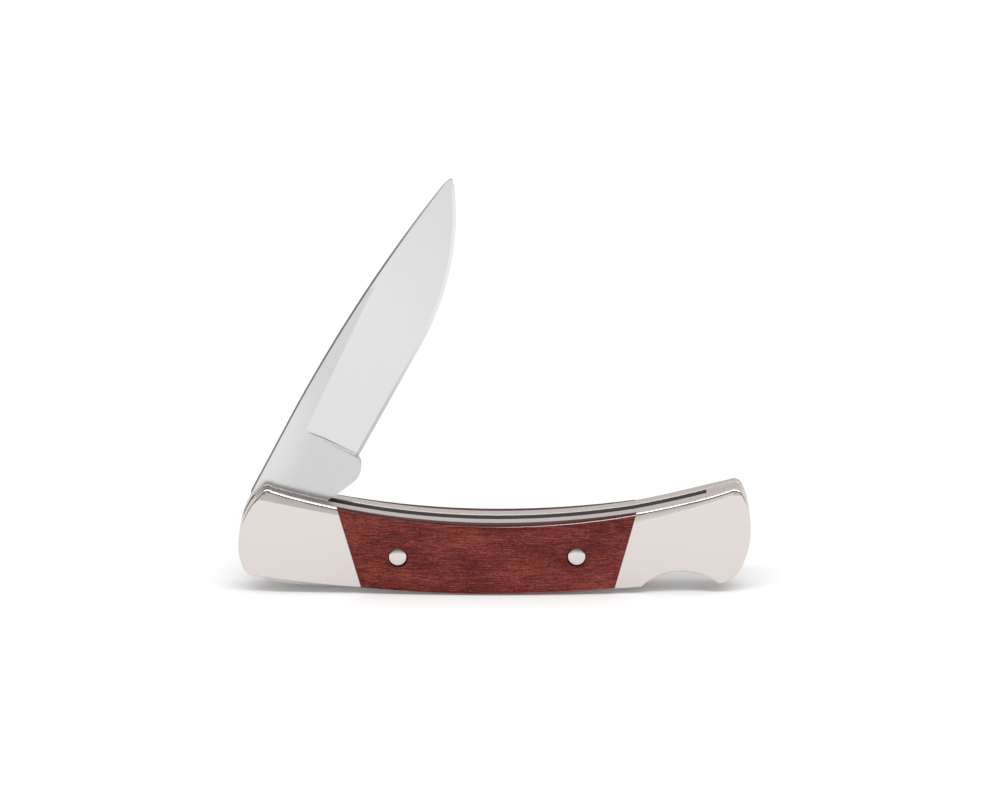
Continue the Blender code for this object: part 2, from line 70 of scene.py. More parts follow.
# Shaping: angles in degrees, corners' distance from the middle in millimetres, the pins' domes and the
# height left at the point as shares, other sizes in metres.
MERGE_WITHIN = 0.000001
FLAT_WITHIN = 0.2
FLAT_SMOOTH, CROWN_SMOOTH, DOME_SMOOTH, GRIND_SMOOTH = 35.0, 40.0, 60.0, 4.5
FACE_WEIGHT = 100
SQUARE_CORNER, CORNER_STEPS = 60.0, 2
BAR_CORNER_OUT, BLADE_CORNER_OUT = 1.15, 0.32
SEAM = 0.00005
PIN_SIDES = 64
DOME_STEPS = ((0.10, 0.42), (0.16, 0.26), (0.28, 0.2), (0.24, 0.09), (0.14, 0.03))
POINT_FROM, POINT_HEIGHT, POINT_REACH = 0.0736, 0.25, 0.0022

# Centre and radius, in millimetres, of the slot edge's arcs on the two pairs of bolsters.
SLOT_ARCS = {"front": ((0.8, 159.42), 146.0), "rear": ((-7.52, 189.16), 177.011)}

# Crown of the bolsters: shares of its slope and of its width at the two ends, rows cut for it as shares
# of the width and columns in millimetres, and how squarely the picked faces look sideways.
CROWN_SHARE = {"front": 1.0, "rear": 0.82}
CROWN_SPREAD = {"front": (1.08, 0.5), "rear": (0.9, 0.5)}
CROWN_POWER = 1.2
CROWN_ROWS = (0.16, 0.3, 0.47, 0.7, 1.0)
CROWN_COLUMN = 2.0
OUTER_TILT, SEAT_TILT, TOP_TILT = 0.1, 0.8, 0.99

# Nickel: how squarely a face looks sideways to count as polished, and where the slot's walls end; those
# walls are painted dark as the shade inside the slot.
NICKEL_FACE = (0.20, 0.70)
SLOT_WALL = (0.00131, 0.00136)
STRIP_TONE, SLOT_SHADE_TONE, STRIP_STREAKS = 0.86, 0.17, 0.35

# Brush lines and handling marks in repeats per metre, the smudges' share of the roughness, and
# relief as a strength and a distance in metres.
NICKEL_BRUSH, NICKEL_MARKS = {"Along": 90.0, "Across": 4200.0}, 140.0
STEEL_BRUSH, STEEL_MARKS = {"Along": 60.0, "Across": 6500.0}, 110.0
MASK_SCALE = 0.13
HAIR_TURN, HAIR_SCALE, HAIR_RANGE = (0.0, 0.6, 0.0), (90.0, 2500.0, 2500.0), (0.70, 0.78)
NICKEL_SMUDGE, STEEL_SMUDGE = 0.05, 0.10
NICKEL_RELIEF, WOOD_RELIEF = (0.35, 0.00004), (0.25, 0.00005)
BAR_SCRATCH, BAR_RELIEF = -0.6, (0.22, 0.00003)
BLADE_SCRATCH, BLADE_RELIEF = -0.5, (0.15, 0.00003)

# Blade: the lie of its back in degrees and millimetres, and places along it in metres from the pivot.
BLADE_ANGLE = 62.5
BACK_HEIGHT, BACK_STRAIGHT, BACK_RADIUS = 8.88, 18.0, 314.0
BACK_LINE = (-0.14, 0.02)
HEEL = 0.0196
# Painted sheen: the flats lighter near the pivot, low on the blade.
SHEEN_HEIGHT, SHEEN_REACH, SHEEN_TONE = (0.002, 0.009), (0.034, 0.012), 1.16
# Painted shade: the blade darker toward the point.
POINT_SHADE_REACH, POINT_SHADE_TONE = (0.045, 0.072), (1.0, 0.91)
# The painted shade on the blade's back fades toward the point.
FADE_REACH, FADE = (0.050, 0.073), (1.0, 0.55)
# Honed edge band: painted shade near the heel, rising to a painted highlight toward the point.
EDGE_REACH, EDGE_SHADE_AND_HIGHLIGHT = (0.026, 0.052), (0.52, 0.75)
# Painted shade on the plunge.
PLUNGE_SHADE_TONE = 0.9
LINE_TONE = (0.98, 1.02)
BACK_FACING = (0.15, 0.6)

# Sideways tilts at which the grind, the edge band, the plunge and the duller turned-in faces begin.
GRIND_TILT, EDGE_TILT = (0.9998, 0.9993), (0.988, 0.978)
PLUNGE_TILT, TURNED_TILT, TURNED_ROUGHNESS = (0.995, 0.97), (0.97, 0.85), (0.0, 0.3)

# Roughness of the lock bar and of the steel pieces inside, and the tones of their brush lines.
BAR_ROUGHNESS, INNER_ROUGHNESS = 0.26, 0.3
BAR_LINE_TONE = (0.93, 1.05)

# Wood grain: repeats per metre along and across, detail and roughness of each layer, then the shares
# they are mixed by, the top edge darkened with painted shade, the gloss line below it and the finish.
STREAKS, FIBRES = (100.0, 5600.0, 3.0, 0.6), (420.0, 7200.0, 2.0, 0.6)
FLECKS, CLOUDS = (3200.0, 7800.0, 2.0, 0.6), (70.0, 190.0, 3.0, 0.55)
PORES, PORE_RANGE, PORE_SHARE, PORE_TONE = (300.0, 5200.0, 1.0, 0.5), (0.62, 0.74), 0.7, 0.55
FIBRE_SHARE, FLECK_SHARE, CLOUD_SHARE = 0.55, 0.42, 0.2
GRAIN_STOPS = (0.43, 0.50, 0.57)
GRAIN_LEAN = 0.012
# Painted shade on the wood's faces that look up.
TOP_SHADE_TILT, TOP_SHADE_TONE = (0.30, 0.85), (1.0, 0.45)
GLOSS_STOPS = ((0.60, 0.0), (0.68, 1.0), (0.86, 1.0), (0.92, 0.0))
GLOSS_REACH, GLOSS_SHARE = (-0.008, 0.020), (0.08, 1.0)
LACQUER_ROUGHNESS, LACQUER_IOR, WOOD_SPECULAR = 0.04, 2.3, 0.06
FIBRE_ROUGHNESS, FIBRE_LEAST, PORE_DEPTH = 0.16, 0.06, -0.8

# Stage: sizes and places in metres, and the studio's brightness by angle above the front in degrees.
FLOOR_SIZE, FLOOR_CENTRE = 5.0, (0.0, 1.9, 0.0)
GLOW_REACH, GLOW = (0.1, 2.0), (0.12, 0.60)
STUDIO = (
    (-180.0, 0.5), (-90.0, 0.8), (-3.0, 0.87), (1.5, 0.70), (9.0, 0.66), (14.0, 0.22),
    (46.0, 0.22), (58.0, 0.95), (125.0, 0.95), (148.0, 0.78), (180.0, 0.78),
)
STUDIO_TINT = (1.0, 0.99, 0.985)
SKY_FALL = (0.45, 1.25)
KEY_PLACE, KEY_SIZE, KEY_AIM = (0.0, -0.6, 1.15), (2.2, 0.32), (0.0, 0.0, 0.02)
WHITE = (1.0, 1.0, 1.0, 1.0)

# Camera: sensor and aim in millimetres, the picture's width in pixels and its scale, clipping in metres.
SENSOR, IMAGE_WIDTH, PIXELS_PER_MM = 36.0, 1000.0, 5.37
CAMERA_AIM = (1.043, 0.0, 36.16)
CLIP = (0.05, 20.0)


class NickelFinish(bpy.types.PropertyGroup):
    """Polished nickel silver of the bolsters, liners, spacer and pins."""

    colour: bpy.props.FloatVectorProperty(
        name="Nickel colour", description="Warm grey of the nickel silver",
        subtype="COLOR", size=3, min=0.0, max=1.0, default=(0.685, 0.632, 0.610),
    )
    face_roughness: bpy.props.FloatProperty(
        name="Face roughness", description="Roughness of the mirror-polished side faces",
        subtype="FACTOR", min=0.0, max=1.0, default=0.09,
    )
    edge_roughness: bpy.props.FloatProperty(
        name="Edge roughness", description="Roughness of the brushed strips along the slot",
        subtype="FACTOR", min=0.0, max=1.0, default=0.34,
    )
    crown_slope: bpy.props.FloatProperty(
        name="Crown slope", description="Slope of the crowned side faces at the edge of the slot",
        min=0.0, max=0.5, default=0.2,
    )
    crown_width: bpy.props.FloatProperty(
        name="Crown width", description="Width of the band that falls away",
        subtype="DISTANCE", unit="LENGTH", min=0.0005, max=0.01, default=0.0036,
    )


class SteelFinish(bpy.types.PropertyGroup):
    """Satin steel of the blade and the lock bar."""

    colour: bpy.props.FloatVectorProperty(
        name="Steel colour", description="Grey of the satin steel",
        subtype="COLOR", size=3, min=0.0, max=1.0, default=(0.585, 0.585, 0.585),
    )
    grind_colour: bpy.props.FloatVectorProperty(
        name="Grind colour", description="Lighter grey of the hollow grind",
        subtype="COLOR", size=3, min=0.0, max=1.0, default=(0.68, 0.68, 0.68),
    )
    # Painted shade: the blade's back, which looks up, is coloured dark.
    back_shade_colour: bpy.props.FloatVectorProperty(
        name="Back colour", description="Dark grey of the blade's ground back",
        subtype="COLOR", size=3, min=0.0, max=1.0, default=(0.10, 0.10, 0.10),
    )
    roughness: bpy.props.FloatProperty(
        name="Roughness", description="Roughness of the satin finish",
        subtype="FACTOR", min=0.0, max=1.0, default=0.24,
    )
    corner: bpy.props.FloatProperty(
        name="Corner", description="Width of the eased corners along the back and tang",
        subtype="DISTANCE", unit="LENGTH", min=0.0, max=0.001, default=0.0001,
    )


class WoodFinish(bpy.types.PropertyGroup):
    """Red-brown laminated wood of the scales."""

    dark: bpy.props.FloatVectorProperty(
        name="Dark grain", description="Colour of the darkest grain lines",
        subtype="COLOR", size=3, min=0.0, max=1.0, default=(0.055, 0.0060, 0.0040),
    )
    middle: bpy.props.FloatVectorProperty(
        name="Body", description="Main colour of the wood",
        subtype="COLOR", size=3, min=0.0, max=1.0, default=(0.138, 0.0155, 0.0120),
    )
    light: bpy.props.FloatVectorProperty(
        name="Light grain", description="Colour of the lightest grain lines",
        subtype="COLOR", size=3, min=0.0, max=1.0, default=(0.275, 0.060, 0.044),
    )
    roughness: bpy.props.FloatProperty(
        name="Roughness", description="Roughness of the polished wood",
        subtype="FACTOR", min=0.0, max=1.0, default=0.38,
    )
    lacquer: bpy.props.FloatProperty(
        name="Lacquer", description="Strength of the clear gloss over the wood",
        subtype="FACTOR", min=0.0, max=1.0, default=0.05,
    )


class PinShape(bpy.types.PropertyGroup):
    """Domed pins that hold the scales."""

    radius: bpy.props.FloatProperty(
        name="Radius", description="Radius of a scale pin",
        subtype="DISTANCE", unit="LENGTH", min=0.0005, max=0.003, default=0.00184,
    )
    dome: bpy.props.FloatProperty(
        name="Dome", description="Height of the domed head",
        subtype="DISTANCE", unit="LENGTH", min=0.0, max=0.001, default=0.00044,
    )


class StageLook(bpy.types.PropertyGroup):
    """Floor, lamp, sky and camera."""

    floor_colour: bpy.props.FloatVectorProperty(
        name="Floor colour", description="Pale floor under the knife",
        subtype="COLOR", size=3, min=0.0, max=1.0, default=(0.80, 0.80, 0.80),
    )
    key_power: bpy.props.FloatProperty(
        name="Key lamp", description="Power of the large lamp overhead",
        unit="POWER", min=0.0, default=11.5,
    )
    sky: bpy.props.FloatProperty(
        name="Sky", description="Even light from all round",
        min=0.0, default=0.82,
    )
    camera_distance: bpy.props.FloatProperty(
        name="Camera distance", description="Distance from the camera to the knife",
        subtype="DISTANCE", unit="LENGTH", min=0.1, default=1.4,
    )
    camera_elevation: bpy.props.FloatProperty(
        name="Camera elevation", description="Angle of the view above the table",
        subtype="ANGLE", unit="ROTATION", default=radians(16.0),
    )


def settings():
    """The scene, which holds the knife's sizes and finishes."""
    return bpy.context.scene


def deselect_all():
    """Go to object mode with nothing selected."""
    if bpy.context.object and bpy.context.object.mode != "OBJECT":
        bpy.ops.object.mode_set(mode="OBJECT")
    bpy.ops.object.select_all(action="DESELECT")


def take_up(piece):
    """Make a piece the only selected and active object."""
    deselect_all()
    piece.select_set(True)
    bpy.context.view_layer.objects.active = piece


def edit(piece, kind="VERT"):
    """Take up a piece in edit mode, to select its vertices, edges or faces."""
    take_up(piece)
    bpy.ops.object.mode_set(mode="EDIT")
    bpy.ops.mesh.select_mode(type=kind)


def leave_edit():
    """Go back to object mode."""
    bpy.ops.object.mode_set(mode="OBJECT")


def blank_from(node, name):
    """A workpiece with a CAD node's shape, its triangles merged back into whole faces."""
    mesh = frame["nodes"][node].data.copy()
    mesh.name = name
    mesh.materials.clear()
    piece = bpy.data.objects.new(name, mesh)
    bpy.context.scene.collection.objects.link(piece)
    take_up(piece)
    bpy.ops.mesh.customdata_custom_splitnormals_clear()
    edit(piece)
    bpy.ops.mesh.select_all(action="SELECT")
    bpy.ops.mesh.remove_doubles(threshold=MERGE_WITHIN)
    bpy.ops.mesh.dissolve_limited(angle_limit=radians(FLAT_WITHIN))
    bpy.ops.mesh.select_all(action="DESELECT")
    leave_edit()
    return piece


def pick(piece, kind, test):
    """Select, in edit mode, the edges or faces that a test accepts."""
    edit(piece, kind)
    bpy.ops.mesh.select_all(action="DESELECT")
    bm = bmesh.from_edit_mesh(piece.data)
    chosen = [item for item in (bm.edges if kind == "EDGE" else bm.faces) if test(item)]
    if not chosen:
        raise RuntimeError(f"nothing to work on in {piece.name}")
    for item in chosen:
        item.select_set(True)
    bmesh.update_edit_mesh(piece.data)


def ease(piece, test, width):
    """Bevel the edges that a test accepts."""
    pick(piece, "EDGE", test)
    bpy.ops.mesh.bevel(offset=width, segments=CORNER_STEPS, profile=0.5, clamp_overlap=True)
    leave_edit()


def smooth(piece, angle, weighted=True):
    """Shade a piece smooth up to an angle in degrees, with its flat faces kept flat where weighted."""
    take_up(piece)
    bpy.ops.object.shade_smooth_by_angle(angle=radians(angle))
    if weighted:
        step = piece.modifiers.new("flat faces stay flat", "WEIGHTED_NORMAL")
        step.mode = "FACE_AREA"
        step.weight = FACE_WEIGHT
        step.keep_sharp = True
        bpy.ops.object.modifier_apply(modifier=step.name)


def hand_over(piece, body, slot, look, *nodes):
    """Give a finished piece its material, its body and the nodes it stands for."""
    piece.data.materials.clear()
    piece.data.materials.append(look)
    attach(piece, body)
    if nodes:
        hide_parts(*nodes)


def feed(tree, value, socket):
    """Link an output to a socket, or set the socket to a plain value."""
    if isinstance(value, bpy.types.NodeSocket):
        tree.links.new(value, socket)
    else:
        socket.default_value = value


def add(tree, kind, **values):
    """Add a node; lower-case names are its properties, the others its inputs."""
    node = tree.nodes.new(kind)
    for key, value in values.items():
        if hasattr(node, key):
            setattr(node, key, value)
        else:
            feed(tree, value, node.inputs[key.replace("_", " ")])
    return node


def maths(tree, operation, *values, clamp=False):
    """The result of one step of arithmetic on outputs or plain values."""
    node = add(tree, "ShaderNodeMath", operation=operation, use_clamp=clamp)
    for value, socket in zip(values, node.inputs):
        feed(tree, value, socket)
    return node.outputs["Value"]


def ranged(tree, value, source, target=(0.0, 1.0), soft=True):
    """A value carried from one range to another, eased at both ends where soft."""
    node = add(
        tree, "ShaderNodeMapRange", interpolation_type="SMOOTHSTEP" if soft else "LINEAR", Value=value,
        From_Min=source[0], From_Max=source[1], To_Min=target[0], To_Max=target[1],
    )
    return node.outputs["Result"]


def mixed(tree, factor, first, second, data="RGBA", blend="MIX"):
    """A blend of two colours or two values."""
    node = add(tree, "ShaderNodeMix", data_type=data, blend_type=blend, Factor=factor, A=first, B=second)
    return node.outputs["Result"]


def split(tree, vector):
    """The X, Y and Z of a vector."""
    node = add(tree, "ShaderNodeSeparateXYZ", Vector=vector)
    return node.outputs["X"], node.outputs["Y"], node.outputs["Z"]


def noise(tree, vector, detail, rough, scale=1.0):
    """Noise between nought and one."""
    node = add(tree, "ShaderNodeTexNoise", Vector=vector, Scale=scale, Detail=detail, Roughness=rough)
    return node.outputs["Fac"]


def toned(colour, share=1.0):
    """A colour, lighter or darker by a share, with its alpha."""
    return (*(share * part for part in colour), 1.0)


def ramp(tree, value, stops):
    """A colour ramp from pairs of place and colour."""
    node = add(tree, "ShaderNodeValToRGB", Fac=value)
    elements = node.color_ramp.elements
    while len(elements) < len(stops):
        elements.new(0.5)
    for element, (place, colour) in zip(elements, stops):
        element.position = place
        element.color = toned(colour)
    return node.outputs["Color"]


def bumped(tree, shader, height, relief):
    """Fine relief on a shader's surface, of a strength and a distance."""
    node = add(tree, "ShaderNodeBump", Strength=relief[0], Distance=relief[1], Height=height)
    feed(tree, node.outputs["Normal"], shader.inputs["Normal"])


def new_group(name, inputs, outputs):
    """An empty shader node group with named sockets, and its two end nodes."""
    group = bpy.data.node_groups.new(name, "ShaderNodeTree")
    for label, kind, value in inputs:
        socket = group.interface.new_socket(name=label, in_out="INPUT", socket_type=kind)
        if value is not None:
            socket.default_value = value
    for label in outputs:
        group.interface.new_socket(name=label, in_out="OUTPUT", socket_type="NodeSocketFloat")
    return group, group.nodes.new("NodeGroupInput"), group.nodes.new("NodeGroupOutput")


def brush_group():
    """Fine parallel brush lines: stretched noise, as a height and as a wider, softer mask."""
    made = bpy.data.node_groups.get("brush_lines")
    if made:
        return made
    group, start, end = new_group(
        "brush_lines",
        [("Vector", "NodeSocketVector", None), ("Along", "NodeSocketFloat", 40.0),
         ("Across", "NodeSocketFloat", 5000.0)],
        ["Height", "Mask"],
    )
    along, across = start.outputs["Along"], start.outputs["Across"]
    stretch = add(group, "ShaderNodeCombineXYZ", X=along, Y=across, Z=across)
    scaled = add(group, "ShaderNodeVectorMath", operation="MULTIPLY")
    feed(group, start.outputs["Vector"], scaled.inputs[0])
    feed(group, stretch.outputs["Vector"], scaled.inputs[1])
    wide = add(group, "ShaderNodeVectorMath", operation="SCALE", Scale=MASK_SCALE)
    feed(group, scaled.outputs["Vector"], wide.inputs[0])
    feed(group, noise(group, scaled.outputs["Vector"], detail=3.0, rough=0.6), end.inputs["Height"])
    feed(group, noise(group, wide.outputs["Vector"], detail=2.0, rough=0.5), end.inputs["Mask"])
    return group


def marks_group():
    """Handling marks: broad smudges and a few hairline scratches."""
    made = bpy.data.node_groups.get("handling_marks")
    if made:
        return made
    group, start, end = new_group(
        "handling_marks",
        [("Vector", "NodeSocketVector", None), ("Scale", "NodeSocketFloat", 160.0)],
        ["Smudge", "Scratch"],
    )
    spot = start.outputs["Vector"]
    turn = add(group, "ShaderNodeMapping", Vector=spot, Rotation=HAIR_TURN, Scale=HAIR_SCALE)
    hair = noise(group, turn.outputs["Vector"], detail=1.0, rough=0.4)
    smudge = noise(group, spot, detail=4.0, rough=0.55, scale=start.outputs["Scale"])
    feed(group, smudge, end.inputs["Smudge"])
    feed(group, ranged(group, hair, HAIR_RANGE), end.inputs["Scratch"])
    return group


def place_group(tree, group, **values):
    """One use of a node group, with its inputs fed by name."""
    node = tree.nodes.new("ShaderNodeGroup")
    node.node_tree = group
    for key, value in values.items():
        feed(tree, value, node.inputs[key])
    return node


def start_material(name):
    """A new material, with its node tree, its shader and its texture coordinates."""
    look = bpy.data.materials.new(name)
    look.use_nodes = True
    tree = look.node_tree
    return look, tree, tree.nodes["Principled BSDF"], add(tree, "ShaderNodeTexCoord")


def sideways(tree, place):
    """How squarely the surface looks to one side or the other."""
    return maths(tree, "ABSOLUTE", split(tree, place.outputs["Normal"])[1])


def nickel_look(name="polished_nickel"):
    """Mirror-polished side faces and brushed strips; the liners' slot material also has dull walls in the
    slot, painted dark as the shade inside it.
    """
    made = bpy.data.materials.get(name)
    if made:
        return made
    finish = settings().knife_nickel
    look, tree, shader, place = start_material(name)
    spot = place.outputs["Object"]
    face = ranged(tree, sideways(tree, place), NICKEL_FACE)
    brush = place_group(tree, brush_group(), Vector=spot, **NICKEL_BRUSH)
    marks = place_group(tree, marks_group(), Vector=spot, Scale=NICKEL_MARKS)
    streak = maths(tree, "MULTIPLY_ADD", brush.outputs["Mask"], STRIP_STREAKS, face, clamp=True)
    colour = mixed(tree, streak, toned(finish.colour, STRIP_TONE), toned(finish.colour))
    polish, metal = face, 1.0
    if name == "slot_shade_nickel":
        # Painted shade: inside the slot the walls lose their metal and take a dark tone.
        metal = ranged(tree, maths(tree, "ABSOLUTE", split(tree, spot)[1]), SLOT_WALL)
        polish = maths(tree, "MULTIPLY", face, metal)
        colour = mixed(tree, metal, toned(finish.colour, SLOT_SHADE_TONE), colour)
    rough = mixed(tree, polish, finish.edge_roughness, finish.face_roughness, data="FLOAT")
    varied = maths(tree, "MULTIPLY_ADD", marks.outputs["Smudge"], NICKEL_SMUDGE, rough)
    feed(tree, metal, shader.inputs["Metallic"])
    feed(tree, colour, shader.inputs["Base Color"])
    feed(tree, varied, shader.inputs["Roughness"])
    brushed = maths(tree, "SUBTRACT", 1.0, face)
    lines = maths(tree, "MULTIPLY", brush.outputs["Height"], brushed)
    bumped(tree, shader, lines, NICKEL_RELIEF)
    return look


def start_steel(name, angle, roughness, scratch, relief):
    """A satin steel with brush lines along the piece, and what its colour is worked out from."""
    look, tree, shader, place = start_material(name)
    shader.inputs["Metallic"].default_value = 1.0
    turned = add(
        tree, "ShaderNodeMapping", vector_type="TEXTURE", Vector=place.outputs["Object"],
        Location=PIVOT, Rotation=(0.0, -radians(angle), 0.0),
    )
    spot = turned.outputs["Vector"]
    brush = place_group(tree, brush_group(), Vector=spot, **STEEL_BRUSH)
    marks = place_group(tree, marks_group(), Vector=spot, Scale=STEEL_MARKS)
    least = roughness - STEEL_SMUDGE / 2.0
    rough = maths(tree, "MULTIPLY_ADD", marks.outputs["Smudge"], STEEL_SMUDGE, least)
    height = maths(tree, "MULTIPLY_ADD", marks.outputs["Scratch"], scratch, brush.outputs["Height"])
    bumped(tree, shader, height, relief)
    return look, tree, shader, rough, brush.outputs["Mask"], place, spot


def steel_look(name, roughness):
    """Satin steel of the lock bar and the pieces inside."""
    made = bpy.data.materials.get(name)
    if made:
        return made
    colour = settings().knife_steel.colour
    look, tree, shader, rough, lines, *_ = start_steel(name, 0.0, roughness, BAR_SCRATCH, BAR_RELIEF)
    dark, pale = (toned(colour, share) for share in BAR_LINE_TONE)
    feed(tree, mixed(tree, lines, dark, pale), shader.inputs["Base Color"])
    feed(tree, rough, shader.inputs["Roughness"])
    return look


def blade_back_shade(tree, place, along, height):
    """Where the painted shade on the blade's back goes: faces that look up from it, and a thin line along
    its rim.
    """
    lean = radians(BLADE_ANGLE)
    facing = add(tree, "ShaderNodeVectorMath", operation="DOT_PRODUCT")
    feed(tree, place.outputs["Normal"], facing.inputs[0])
    feed(tree, (-sin(lean), 0.0, cos(lean)), facing.inputs[1])
    bent = maths(tree, "MAXIMUM", maths(tree, "SUBTRACT", along, BACK_STRAIGHT * MM), 0.0)
    rise = maths(tree, "ADD", height, (BACK_RADIUS - BACK_HEIGHT) * MM)
    arm = add(tree, "ShaderNodeCombineXYZ", X=bent, Z=rise)
    reach = add(tree, "ShaderNodeVectorMath", operation="LENGTH")
    feed(tree, arm.outputs["Vector"], reach.inputs[0])
    rim = [(BACK_RADIUS + offset) * MM for offset in BACK_LINE]
    return maths(
        tree, "MAXIMUM", ranged(tree, facing.outputs["Value"], BACK_FACING),
        ranged(tree, reach.outputs["Value"], rim),
    )


def blade_look():
    """Satin flats with a painted sheen near the pivot, a brighter hollow grind with painted shade toward
    the point, a honed edge band with painted shade and highlight, painted shade on the plunge, and a ground
    back painted dark as shade.
    """
    finish = settings().knife_steel
    look, tree, shader, rough, lines, place, spot = start_steel(
        "blade_steel", BLADE_ANGLE, finish.roughness, BLADE_SCRATCH, BLADE_RELIEF,
    )
    along, _, height = split(tree, spot)
    side = sideways(tree, place)
    # Painted sheen on the flats near the pivot.
    near_pivot = ranged(tree, along, SHEEN_REACH)
    pale = maths(tree, "MULTIPLY", ranged(tree, height, SHEEN_HEIGHT), near_pivot)
    flats = mixed(tree, pale, toned(finish.colour), toned(finish.colour, SHEEN_TONE))
    zones = mixed(tree, ranged(tree, side, GRIND_TILT), flats, toned(finish.grind_colour))
    streaks = ranged(tree, lines, (0.0, 1.0), LINE_TONE, soft=False)
    # Brush lines, with painted shade darkening the blade toward the point.
    lines_and_point_shade = maths(tree, "MULTIPLY", streaks, ranged(tree, along, POINT_SHADE_REACH, POINT_SHADE_TONE, soft=False))
    grained = mixed(tree, 1.0, zones, lines_and_point_shade, blend="MULTIPLY")
    # The honed edge band takes painted shade near the heel and a painted highlight toward the point.
    ahead = maths(tree, "GREATER_THAN", along, HEEL)
    keen = maths(tree, "MULTIPLY", ranged(tree, side, EDGE_TILT), ahead)
    honed = mixed(tree, keen, grained, ranged(tree, along, EDGE_REACH, EDGE_SHADE_AND_HIGHLIGHT))
    # Painted shade on the plunge behind the heel.
    behind = maths(tree, "LESS_THAN", along, HEEL)
    plunge = maths(tree, "MULTIPLY", ranged(tree, side, PLUNGE_TILT), behind)
    shaded = mixed(tree, plunge, honed, toned(finish.colour, PLUNGE_SHADE_TONE))
    # Painted shade on the blade's back, faded toward the point.
    fading = ranged(tree, along, FADE_REACH, FADE, soft=False)
    dark = maths(tree, "MULTIPLY", blade_back_shade(tree, place, along, height), fading)
    feed(tree, mixed(tree, dark, shaded, toned(finish.back_shade_colour)), shader.inputs["Base Color"])
    turned_in = ranged(tree, side, TURNED_TILT, TURNED_ROUGHNESS)
    feed(tree, maths(tree, "ADD", rough, turned_in), shader.inputs["Roughness"])
    return look


def wood_look():
    """Red-brown laminated wood: long streaks, fibres, flecks, dark pores, painted shade on the top edge and
    a gloss along it.
    """
    made = bpy.data.materials.get("red_brown_wood")
    if made:
        return made
    finish = settings().knife_wood
    look, tree, shader, place = start_material("red_brown_wood")
    spot = place.outputs["Object"]
    lean = add(tree, "ShaderNodeMapping", Vector=spot, Rotation=(0.0, GRAIN_LEAN, 0.0))

    def grain(along, across, detail, rough):
        size = add(
            tree, "ShaderNodeMapping", Vector=lean.outputs["Vector"], Scale=(along, across, across),
        )
        return noise(tree, size.outputs["Vector"], detail, rough)

    fibres = grain(*FIBRES)
    thread = mixed(tree, FIBRE_SHARE, grain(*STREAKS), fibres, data="FLOAT")
    flecked = mixed(tree, FLECK_SHARE, thread, grain(*FLECKS), data="FLOAT")
    body = mixed(tree, CLOUD_SHARE, flecked, grain(*CLOUDS), data="FLOAT")
    stops = list(zip(GRAIN_STOPS, (finish.dark, finish.middle, finish.light)))
    pit = ranged(tree, grain(*PORES), PORE_RANGE)
    pitted = maths(tree, "MULTIPLY", pit, PORE_SHARE)
    colour = mixed(tree, pitted, ramp(tree, body, stops), toned(finish.dark, PORE_TONE))
    upward = split(tree, place.outputs["Normal"])[2]
    # Painted shade: faces that look up are darkened.
    shaded_top = add(
        tree, "ShaderNodeVectorMath", operation="SCALE", Scale=ranged(tree, upward, TOP_SHADE_TILT, TOP_SHADE_TONE),
    )
    feed(tree, colour, shaded_top.inputs[0])
    feed(tree, shaded_top.outputs["Vector"], shader.inputs["Base Color"])
    gloss = ramp(tree, sideways(tree, place), [(at, (level,) * 3) for at, level in GLOSS_STOPS])
    rearward = ranged(tree, split(tree, spot)[0], GLOSS_REACH, GLOSS_SHARE)
    coat = maths(tree, "MAXIMUM", maths(tree, "MULTIPLY", gloss, rearward), finish.lacquer)
    feed(tree, coat, shader.inputs["Coat Weight"])
    feed(tree, LACQUER_ROUGHNESS, shader.inputs["Coat Roughness"])
    feed(tree, LACQUER_IOR, shader.inputs["Coat IOR"])
    feed(tree, WOOD_SPECULAR, shader.inputs["Specular IOR Level"])
    rough = maths(tree, "MULTIPLY_ADD", fibres, FIBRE_ROUGHNESS, finish.roughness - FIBRE_LEAST)
    feed(tree, rough, shader.inputs["Roughness"])
    level = maths(tree, "MULTIPLY_ADD", pit, PORE_DEPTH, fibres)
    bumped(tree, shader, level, WOOD_RELIEF)
    return look


def corner_edge(out):
    """A test for square corners whose ends lie further out than a depth in millimetres."""
    def test(edge):
        outside = all(abs(vert.co.y) > out * MM for vert in edge.verts)
        return outside and edge.calc_face_angle(0.0) > radians(SQUARE_CORNER)
    return test


class KNIFE_OT_liners(bpy.types.Operator):
    """Make the two liners from their blanks"""

    bl_idname = "knife.liners"
    bl_label = "Liners"

    def execute(self, context):
        for name, _ in SIDES:
            piece = blank_from(f"{name}_liner", f"{name}_liner_plate")
            smooth(piece, FLAT_SMOOTH)
            hand_over(piece, "handle", "liner_nickel", nickel_look("slot_shade_nickel"), f"{name}_liner")
        return {"FINISHED"}


